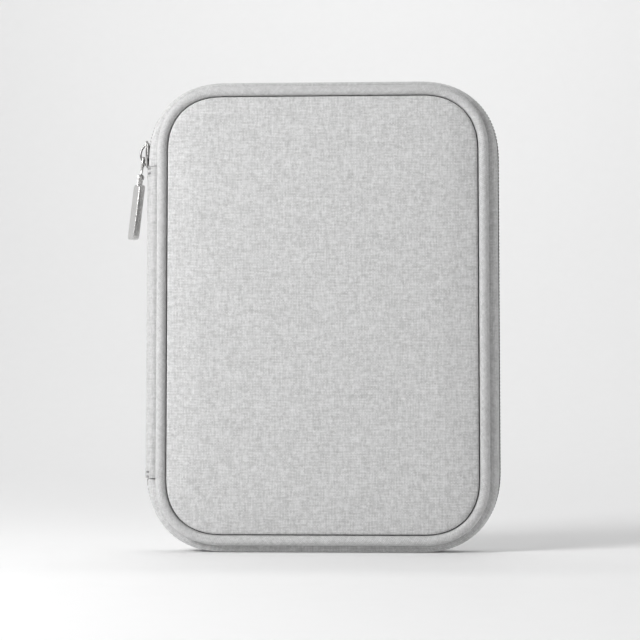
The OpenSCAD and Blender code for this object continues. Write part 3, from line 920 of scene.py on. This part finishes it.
PLATE_T = 1.1 * MM
slider_low, slider_high = slider_box
WING = slider_high.y
SLIDER_L = slider_high.z - slider_low.z


def prism(outline, low, high, place):
    """A flat outline in its own X and Y given thickness, and put in place by a matrix."""
    points = [place @ Vector((x, y, t)) for t in (low, high) for x, y in outline]
    *walls, foot, lid = hoops(2, len(outline))
    return points, [foot, lid, *walls]


def arc(centre, radius, start, stop, count=6):
    """Points on an arc, with angles in degrees."""
    turns = np.radians(np.linspace(start, stop, count))
    return [(centre[0] + radius * math.cos(a), centre[1] + radius * math.sin(a)) for a in turns]


def rod(path, across, out, radii, sides=14, closed=False):
    """A rod along a path with an oval section: radii along `across` and `out` at each point."""
    points = []
    turns = np.linspace(0, 2 * math.pi, sides, endpoint=False)
    for p, a, o, (ra, ro) in zip(path, across, out, radii):
        points += [Vector(p) + Vector(a) * ra * math.cos(t) + Vector(o) * ro * math.sin(t) for t in turns]
    return points, hoops(len(path), sides, closed=closed)


def softened(piece, width, segments=3):
    """Rounds every sharp edge of a cast or pressed piece."""
    edge = piece.modifiers.new("softened", "BEVEL")
    edge.width, edge.segments, edge.limit_method = width, segments, "ANGLE"
    edge.angle_limit, edge.harden_normals = math.radians(35), True
    edge.use_clamp_overlap = True
    return piece


def slider_outline():
    """The plate seen flat: a narrow rounded nose at the bottom and two wings at the top."""
    nose, top = 3.2 * MM, SLIDER_L
    right = arc((nose - 1.2 * MM, 1.2 * MM), 1.2 * MM, -90, -10, 4)
    right += [(WING - 0.6 * MM, 4.6 * MM), (WING, 6.2 * MM)]
    right += arc((WING - 1.4 * MM, top - 1.4 * MM), 1.4 * MM, 0, 90, 5)
    return right + [(-y, z) for y, z in reversed(right)]


def on_side(x):
    """Lays a flat outline on the case's left side: its X along Y, its Y up, its thickness inward."""
    return Matrix(((0, 0, 1, x), (1, 0, 0, 0), (0, 1, 0, slider_low.z), (0, 0, 0, 1)))


flange_top, flange_foot = SLIDER_L - 1.5 * MM, 5.2 * MM
flange = [(0, flange_foot), (1.0 * MM, flange_foot), (1.0 * MM, flange_top), (0, flange_top)]
outer_x, inner_x = slider_low.x + PLATE_T, slider_high.x - PLATE_T
parts = [prism(slider_outline(), slider_low.x, outer_x, on_side(0)),
         prism(slider_outline(), inner_x, slider_high.x, on_side(0)),
         rounded_box((outer_x - 0.3 * MM, -0.5 * MM, slider_low.z + 1.5 * MM),
                     (inner_x + 0.3 * MM, 0.5 * MM, slider_low.z + 5 * MM), 0.15 * MM)]
for y in (-WING, WING - 1.0 * MM):
    shape = [(y + a, b) for a, b in flange]
    parts += [prism(shape, outer_x - 0.2 * MM, outer_x + 1.0 * MM, on_side(0)),
              prism(shape, inner_x - 0.8 * MM, inner_x + 0.2 * MM, on_side(0))]
slider = softened(joined("zip_slider", parts, bright), 0.3 * MM)
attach(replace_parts(slider, "slider_body"), "slider")

bridge_low, bridge_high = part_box("slider_bridge")
bridge_rise, bridge_span = bridge_high.x - bridge_low.x, bridge_high.z - bridge_low.z
BRIDGE_T, BRIDGE_W = 1.2 * MM, 3.0 * MM
bridge_r = (bridge_span**2 / 4 + bridge_rise**2) / (2 * bridge_rise)
bridge_x = bridge_low.x + bridge_r
bridge_z = (bridge_low.z + bridge_high.z) / 2
swing = math.asin(bridge_span / 2 / bridge_r) * 1.02
path, across, out, radii = [], [], [], []
for turn in np.linspace(-swing, swing, 25):
    outward = Vector((-math.cos(turn), 0, math.sin(turn)))
    path.append(Vector((bridge_x, 0, bridge_z)) + outward * (bridge_r - BRIDGE_T / 2))
    across.append((0, 1, 0))
    out.append(outward)
    foot = 1 + 0.25 * (abs(turn) / swing) ** 4
    radii.append((BRIDGE_W / 2 * foot, BRIDGE_T / 2 * foot))
bridge = joined("slider_arch", [rod(path, across, out, radii)], bright)
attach(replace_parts(bridge, "slider_bridge"), "slider")

# ---- Puller ----
# A stirrup-shaped link hangs from the bridge and ends in an eye, and a heavy bar tab hangs from the
# eye between two ears. Both are cast and plated, with the bar's faces brushed along it.

swings = {j["name"]: Vector(j["pos_m"]) for j in frame["joints"]}
pin, eye = swings["link_swing"], swings["tab_swing"]
down = (eye - pin).normalized()
link_out = Vector((down.z, 0, -down.x))
STIRRUP_HALF_W, STIRRUP_L, WIRE = 2.35 * MM, 5.6 * MM, 0.62 * MM
side_way = Vector((0, 1, 0))


def round_cornered(half_w, low, high, radius, count):
    """A rectangle with round corners, from the right one at its top round to the left."""
    x, foot, top = half_w - radius, low + radius, high - radius
    corners = ((x, top, 0), (-x, top, 90), (-x, foot, 180), (x, foot, 270))
    return [spot for a, b, start in corners for spot in arc((a, b), radius, start, start + 90, count)]


loop = round_cornered(STIRRUP_HALF_W, -STIRRUP_L / 2, STIRRUP_L / 2, 1.3 * MM, 5)
centre = pin + down * STIRRUP_L / 2
path = [centre + side_way * y - down * l for y, l in loop]
ways = [(path[(n + 1) % len(path)] - path[n - 1]).normalized() for n in range(len(path))]
parts = [rod(path, [w.cross(link_out) for w in ways], [link_out] * len(path),
              [(WIRE, WIRE * 1.05)] * len(path), closed=True)]
stem = np.linspace(STIRRUP_L - 0.2 * MM, (eye - pin).length - 1.2 * MM, 7)
parts.append(rod([pin + down * s for s in stem], [side_way] * 7, [link_out] * 7,
                  [(w * MM, 0.72 * MM) for w in (1.5, 1.05, 0.85, 0.8, 0.8, 0.9, 1.0)]))
turns = np.linspace(0, 2 * math.pi, 28, endpoint=False)
radial = [down * math.cos(a) + link_out * math.sin(a) for a in turns]
parts.append(rod([eye + r * 1.6 * MM for r in radial], [side_way] * 28, radial,
                  [(0.95 * MM, 0.58 * MM)] * 28, closed=True))
link = joined("puller_link", parts, nickel)
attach(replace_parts(link, "pull_link"), "pull_link")

TAB_LEAN, TAB_TWIST = math.radians(6.5), math.radians(28)
TAB_W, TAB_T, TAB_NECK, TAB_CORNER = 10.4 * MM, 3.6 * MM, 4.4 * MM, 2.2 * MM
tab_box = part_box("pull_tab")
blade_drop = eye.z - TAB_NECK * math.cos(TAB_LEAN) - tab_box[0].z
TAB_FOOT = TAB_NECK + blade_drop / math.cos(TAB_LEAN) * 0.995
hang = Matrix.Translation(eye) @ Matrix.Rotation(TAB_LEAN, 4, "Y")
upright = Matrix(((0, 0, 1, 0), (1, 0, 0, 0), (0, 1, 0, 0), (0, 0, 0, 1)))
blade = round_cornered(TAB_W / 2, -TAB_FOOT, -TAB_NECK, TAB_CORNER, 6)
parts = [prism(blade, -TAB_T / 2, TAB_T / 2, hang @ Matrix.Rotation(TAB_TWIST, 4, "Z") @ upright)]
EAR_R, EAR_FOOT = 1.25 * MM, -TAB_NECK - 1.2 * MM
ear = arc((0, 0), EAR_R, 0, 180, 9) + [(-EAR_R, EAR_FOOT), (EAR_R, EAR_FOOT)]
ear_place = hang @ Matrix.Rotation(math.radians(90), 4, "X")
for y in (-2.3 * MM, 1.3 * MM):
    parts.append(prism(ear, -y - 1.0 * MM, -y, ear_place))
pin_path = [hang @ Vector((0, y, 0)) for y in np.linspace(-2.45, 2.45, 3) * MM]
parts.append(rod(pin_path, [(1, 0, 0)] * 3, [(0, 0, 1)] * 3, [(0.7 * MM, 0.7 * MM)] * 3, 16))
tab = softened(joined("puller_tab", parts, nickel), 0.42 * MM, 4)
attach(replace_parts(tab, "pull_tab"), "pull_tab")

# ---- Studio ----
# A pale sheet sweeps up from the floor into the wall. A soft key light stands at the upper left, with
# dim fills round it, and the camera is in front of the case, a little above its foot.

sweep = [(-1.6, 0.0), (1.3, 0.0)] + [(1.3 + 1.1 * math.sin(a), 1.1 - 1.1 * math.cos(a))
                                    for a in np.linspace(0.08, math.pi / 2, 22)] + [(2.4, 3.0)]
floor = skin("studio_sweep", [[(x, y, z) for y, z in sweep] for x in (-3.5, 3.5)], tube=False)
paper = Finish("studio paper", Specular_IOR_Level=0.3)
grain = paper.speckle(paper.add("TexCoord", output="Object"), 60, 3.0)
paper_colour = paper.mix(grain, grey(0.87), grey(0.89))
floor.data.materials.append(paper.shade(Base_Color=paper_colour, Roughness=0.6))


def light(name, place, aim, size, watts):
    """A soft rectangular light."""
    lamp = bpy.data.lights.new(name, "AREA")
    lamp.shape, lamp.size, lamp.size_y, lamp.energy = "RECTANGLE", *size, watts
    lamp_object = bpy.data.objects.new(name, lamp)
    lamp_object.location = place
    lamp_object.rotation_euler = (Vector(aim) - Vector(place)).to_track_quat("-Z", "Y").to_euler()
    bpy.context.scene.collection.objects.link(lamp_object)


middle = (0, 0, CASE_H / 2)
light("key", (-0.8, -0.66, 0.62), middle, (0.5, 0.5), 12.4)
light("front fill", (0.2, -1.7, 0.4), middle, (1.2, 0.8), 1.4)
light("side fill", (1.3, 0.0, 0.35), middle, (0.6, 0.6), 3.6)
light("rim", (-1.35, 0.9, 0.3), middle, (0.8, 0.8), 1.3)
light("top", (-0.3, -0.1, 1.9), (0, -0.1, 0), (1.0, 1.0), 1.5)
light("wall wash", (0.0, 1.0, 2.2), (0, 2.4, 0.5), (2.6, 0.8), 29)

world = bpy.data.worlds.new("studio")
bpy.context.scene.world = world
world.use_nodes = True
world.node_tree.nodes["Background"].inputs["Color"].default_value = grey(1.0)
world.node_tree.nodes["Background"].inputs["Strength"].default_value = 0.24

camera = bpy.data.cameras.new("camera")
camera.lens, camera.sensor_width = 98.8, 36
camera_object = bpy.data.objects.new("camera", camera)
CAMERA_SPOT = Vector((0.044, -1.016, 0.074))
AIM = Vector((-0.0018, 0.0, 0.1333))
camera_object.location = CAMERA_SPOT
camera_object.rotation_euler = (AIM - CAMERA_SPOT).to_track_quat("-Z", "Y").to_euler()
bpy.context.scene.collection.objects.link(camera_object)
bpy.context.scene.camera = camera_object
bpy.context.scene.view_settings.view_transform = "Standard"
